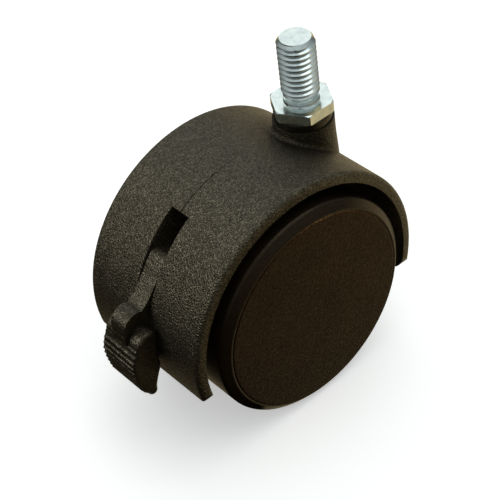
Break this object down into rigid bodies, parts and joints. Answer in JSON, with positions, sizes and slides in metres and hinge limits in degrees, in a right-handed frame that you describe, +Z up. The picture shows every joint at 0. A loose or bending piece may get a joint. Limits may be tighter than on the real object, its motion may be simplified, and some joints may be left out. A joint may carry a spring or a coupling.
{
  "type": "chair caster wheel",
  "caption": "Swivel castor for a chair: a curved hood over paired wheels with flat hub caps, a threaded mounting stem with a hex collar, and a ribbed foot-brake pedal.",
  "frame": {"origin": "centre of the hex collar's top face, on the swivel axis", "axes": "+Z up the threaded stem; +X from the stem towards the wheel axle and the brake pedal; +Y along the wheel axle"},
  "size_m": [0.0673, 0.04, 0.0745],
  "materials": {
    "hood_nylon": "fine moulded grain",
    "zinc_steel": "bright zinc plating",
    "bush_acetal": "smooth moulded",
    "bright_steel": "drawn and turned",
    "spring_steel": "oil-darkened spring steel",
    "wheel_nylon": "smooth moulded",
    "cap_nylon": "spark-eroded matt",
    "natural_acetal": "smooth moulded",
    "lever_nylon": "fine moulded grain",
    "pad_rubber": "moulded rubber"
  },
  "bodies": {
    "stem": {"threaded_stem": "zinc_steel", "stem_snap_ring": "spring_steel"},
    "housing": {"housing": "hood_nylon", "stem_bush": "bush_acetal", "stem_washer": "bright_steel", "axle": "bright_steel", "thrust_washer_right": "natural_acetal", "thrust_washer_left": "natural_acetal", "axle_clip_right": "spring_steel", "axle_clip_left": "spring_steel", "detent_spring": "spring_steel"},
    "wheel_right": {"wheel_right": "wheel_nylon", "wheel_bush_right": "natural_acetal", "hub_cap_right": "cap_nylon"},
    "wheel_left": {"wheel_left": "wheel_nylon", "wheel_bush_left": "natural_acetal", "hub_cap_left": "cap_nylon"},
    "brake_lever": {"brake_lever": "lever_nylon"},
    "brake_bar": {"brake_bar": "bright_steel", "brake_pad_right": "pad_rubber", "brake_pad_left": "pad_rubber"}
  },
  "joints": [
    {"name": "swivel", "type": "hinge", "parent": "stem", "child": "housing", "pos_m": [0, 0, 0], "axis": [0, 0, 1], "continuous": true},
    {"name": "right_wheel_spin", "type": "hinge", "parent": "housing", "child": "wheel_right", "pos_m": [0.018, 0, -0.03449], "axis": [0, 1, 0], "continuous": true},
    {"name": "left_wheel_spin", "type": "hinge", "parent": "housing", "child": "wheel_left", "pos_m": [0.018, 0, -0.03449], "axis": [0, 1, 0], "continuous": true},
    {"name": "brake_pedal", "type": "hinge", "parent": "housing", "child": "brake_lever", "pos_m": [0.018, 0, -0.03449], "axis": [0, -1, 0], "range_deg": [0, 15]},
    {"name": "brake_bar_slide", "type": "slide", "parent": "housing", "child": "brake_bar", "axis": [0.1736, 0, 0.9848], "range_m": [-0.00121, 0]}
  ],
  "couplings": [
    {"joint": "brake_bar_slide", "follows": "brake_pedal", "m_per_rad": -0.0045837}
  ]
}
